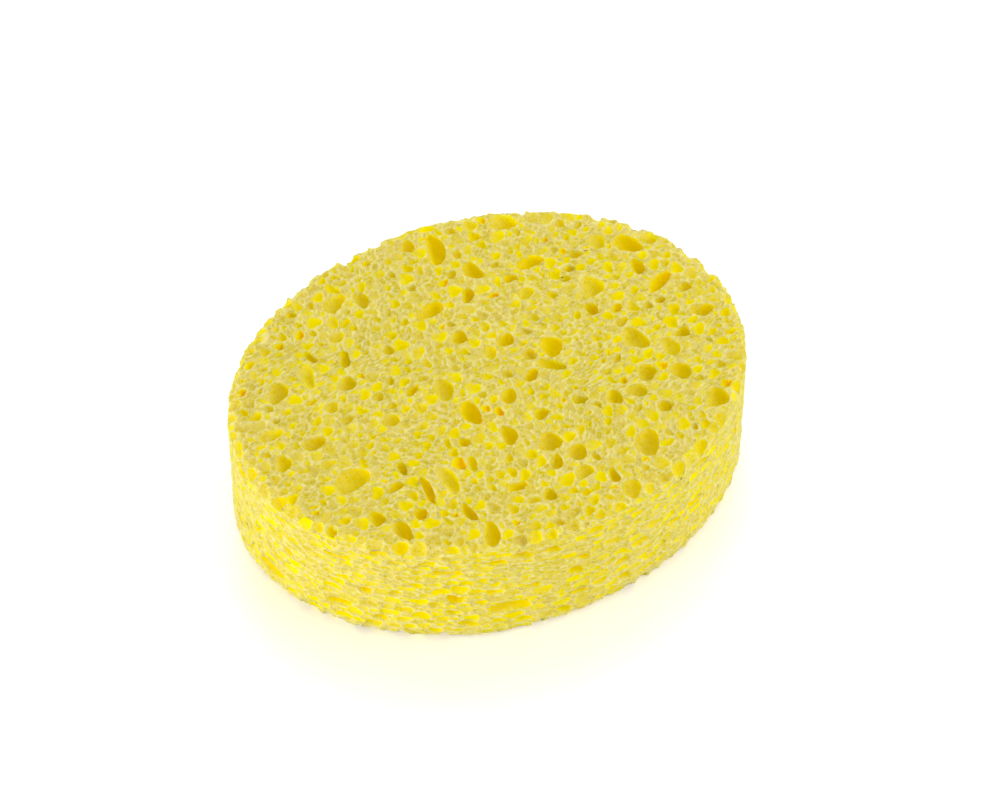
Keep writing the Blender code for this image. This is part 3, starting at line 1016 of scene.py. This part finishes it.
# %% Foamed cellulose, dyed yellow
def foamed_cellulose():
    """Land with painted shade in its fine pits, the bubbles' colour with painted shade and bounce light
    over it where a point is inside one, and a painted highlight on the thin rims over both. Light goes a
    few millimetres into the foam, and its blue is lost there."""
    material, tree, output = new_material("foamed cellulose dyed yellow")
    place = add(tree, "ShaderNodeTexCoord").outputs["Object"]
    inside, painted_pore_shade, rim = (
        add(tree, "ShaderNodeAttribute", attribute_name=name).outputs["Fac"]
        for name in ("inside", "painted_pore_shade", "rim")
    )
    bent = bent_place(tree, place)
    lace, fine = fine_bubbles(tree, bent, LACE_CELL), fine_bubbles(tree, bent, FINE_CELL)
    both = add(tree, "ShaderNodeMath", {0: fine, 1: FINE_SHARE, 2: lace}, operation="MULTIPLY_ADD")
    # The fine pits are painted darker, as shade.
    painted_pit_shade = add(tree, "ShaderNodeMath", {0: both.outputs[0], 1: PIT_SHADE_SHARE}, operation="MULTIPLY")
    land_and_painted_pits = add(
        tree,
        "ShaderNodeMix",
        {"Factor": painted_pit_shade.outputs[0], 6: srgb(LAND_SHADE), 7: srgb(PAINTED_PIT_SHADE)},
        data_type="RGBA",
    )
    hollow = add(
        tree,
        "ShaderNodeMapRange",
        {"Value": inside, "From Min": HOLLOW_EDGE[0], "From Max": HOLLOW_EDGE[1]},
        interpolation_type="SMOOTHSTEP",
    )
    cover = add(tree, "ShaderNodeMapRange", {"Value": painted_pore_shade, "From Max": FULL_TONE, "To Min": LEAST_COVER})
    covered = add(
        tree,
        "ShaderNodeMath",
        {0: hollow.outputs[0], 1: cover.outputs[0]},
        operation="MULTIPLY",
    )
    # Inside a bubble, its colour with painted shade and bounce light covers the land.
    body = add(
        tree,
        "ShaderNodeMix",
        {"Factor": covered.outputs[0], 6: land_and_painted_pits.outputs[2], 7: painted_bubble_shade(tree, place, painted_pore_shade)},
        data_type="RGBA",
    )
    # The thin rims are painted paler, as a highlight.
    edge = add(tree, "ShaderNodeMath", {0: rim, 1: RIM_HIGHLIGHT_POWER}, operation="POWER")
    painted_rim_highlight = add(tree, "ShaderNodeMath", {0: edge.outputs[0], 1: RIM_HIGHLIGHT_COVER}, operation="MULTIPLY")
    colour_with_painted_light = add(
        tree,
        "ShaderNodeMix",
        {"Factor": painted_rim_highlight.outputs[0], 6: body.outputs[2], 7: srgb(PAINTED_RIM_HIGHLIGHT)},
        data_type="RGBA",
    )
    calm = add(tree, "ShaderNodeMapRange", {"Value": inside, "To Min": LAND_BUMP, "To Max": HOLLOW_BUMP})
    bump = add(
        tree,
        "ShaderNodeBump",
        {"Height": lace, "Strength": calm.outputs[0], "Distance": -BUMP_DEPTH},
    )
    shader = add(
        tree,
        "ShaderNodeBsdfPrincipled",
        {
            "Base Color": colour_with_painted_light.outputs[2],
            "Roughness": 0.9,
            "Specular IOR Level": 0.03,
            "Subsurface Weight": 0.5,
            "Subsurface Radius": (1.0, 0.8, 0.1),
            "Subsurface Scale": 0.004,
            "Normal": bump.outputs[0],
        },
    )
    tree.links.new(shader.outputs[0], output.inputs["Surface"])
    return material


mesh.materials.append(foamed_cellulose())

# %% Tie the sponge to the solid
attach(sponge, "root")
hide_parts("sponge")

# %% [markdown]
# ## The ground, the light and the camera
#
# The sponge lies on a white table in the soft light of a white room. Low softboxes on the left,
# in front and behind make its wall brighter than its top. A higher one on the right lights each
# pore's left side and leaves its right side deep, which shows how hollow it is. The table is a
# little glossy and shows the wall faintly.

# %% White table
GROUND_SIDE = 12.0
half_side = GROUND_SIDE / 2
corners = [(x * half_side, y * half_side, 0) for x, y in ((-1, -1), (1, -1), (1, 1), (-1, 1))]
ground_mesh = bpy.data.meshes.new("table")
ground_mesh.from_pydata(corners, [], [(0, 1, 2, 3)])
ground = bpy.data.objects.new("table", ground_mesh)
bpy.context.scene.collection.objects.link(ground)

# %% White acrylic
WHITE = (1, 1, 1, 1)
ACRYLIC_GREY = (0.88, 0.88, 0.88, 1)
MIRROR_SHARE, MIRROR_ROUGHNESS = 0.3, 0.33
CAMERA_LIFT = 0.28


def white_acrylic():
    """White acrylic: mostly dull, with a soft mirror over it, and lifted to white only for the
    camera, so that the shadow stays."""
    material, tree, output = new_material("polished white acrylic")
    seen = add(tree, "ShaderNodeLightPath").outputs["Is Camera Ray"]
    lift = add(tree, "ShaderNodeMath", {0: seen, 1: CAMERA_LIFT}, operation="MULTIPLY")
    dull = add(tree, "ShaderNodeBsdfDiffuse", {"Color": ACRYLIC_GREY})
    mirror = add(tree, "ShaderNodeBsdfGlossy", {"Color": WHITE, "Roughness": MIRROR_ROUGHNESS})
    surface = add(
        tree,
        "ShaderNodeMixShader",
        {"Fac": MIRROR_SHARE, 1: dull.outputs[0], 2: mirror.outputs[0]},
    )
    glow = add(tree, "ShaderNodeEmission", {"Strength": lift.outputs[0]})
    lifted = add(tree, "ShaderNodeAddShader", {0: surface.outputs[0], 1: glow.outputs[0]})
    tree.links.new(lifted.outputs[0], output.inputs["Surface"])
    return material


ground_mesh.materials.append(white_acrylic())

# %% Soft light
def way_back(azimuth, elevation):
    """The direction from the sponge to a viewer: azimuth 0 looks along +Y, and 90 along -X."""
    turn, rise = math.radians(azimuth), math.radians(elevation)
    return Vector((math.sin(turn) * math.cos(rise), -math.cos(turn) * math.cos(rise), math.sin(rise)))


def soft_lamp(name, azimuth, elevation, distance, side, power):
    """A square area lamp that faces the sponge from a direction given as the camera's is."""
    light = bpy.data.lights.new(name, "AREA")
    light.shape = "SQUARE"
    light.size = side
    light.energy = power
    lamp = bpy.data.objects.new(name, light)
    bpy.context.scene.collection.objects.link(lamp)
    back = way_back(azimuth, elevation)
    lamp.location = Vector((0, 0, THICKNESS / 2)) + back * distance
    lamp.rotation_euler = (-back).to_track_quat("-Z", "Y").to_euler()


# Azimuth and elevation in degrees, distance and side in metres, and power in watts.
soft_lamp("left_softbox", -85, 12, 1.2, 0.4, 5.5)
soft_lamp("right_softbox", 60, 35, 1.4, 0.9, 6.4)
soft_lamp("front_softbox", -20, 18, 1.4, 0.9, 1.5)
soft_lamp("back_softbox", 165, 12, 1.4, 0.5, 4.5)

# %% White room
# It lights the sponge a little less than it shows, so that the ground is white and the foam isn't.
ROOM_LIGHT, ROOM_SEEN = 0.72, 1.0

world = bpy.data.worlds.new("studio")
bpy.context.scene.world = world
world.use_nodes = True
world_tree = world.node_tree
world_tree.nodes.clear()
path = add(world_tree, "ShaderNodeLightPath")
seen_or_mirrored = add(
    world_tree,
    "ShaderNodeMath",
    {0: path.outputs["Is Camera Ray"], 1: path.outputs["Is Glossy Ray"]},
    operation="MAXIMUM",
)
strength = add(
    world_tree,
    "ShaderNodeMapRange",
    {"Value": seen_or_mirrored.outputs[0], "To Min": ROOM_LIGHT, "To Max": ROOM_SEEN},
)
background = add(world_tree, "ShaderNodeBackground", {"Color": WHITE, "Strength": strength.outputs[0]})
add(world_tree, "ShaderNodeOutputWorld", {"Surface": background.outputs[0]})

# %% Camera
# Its place and its lens were fitted to the sponge's outline in the photo.
CAMERA_AZIMUTH, CAMERA_ELEVATION = -26.05, 50.0
CAMERA_DISTANCE = 1.0948
CAMERA_TARGET = Vector((0.00459, 0.00306, 0.017))
CAMERA_LENS = 161.2
CAMERA_SENSOR = 36

camera = bpy.data.objects.new("camera", bpy.data.cameras.new("camera"))
bpy.context.scene.collection.objects.link(camera)
bpy.context.scene.camera = camera
camera.data.lens = CAMERA_LENS
camera.data.sensor_width = CAMERA_SENSOR
camera_back = way_back(CAMERA_AZIMUTH, CAMERA_ELEVATION)
camera.location = CAMERA_TARGET + camera_back * CAMERA_DISTANCE
camera.rotation_euler = (-camera_back).to_track_quat("-Z", "Y").to_euler()
camera.data.clip_start, camera.data.clip_end = 0.01, 100
bpy.context.scene.view_settings.view_transform = "Standard"
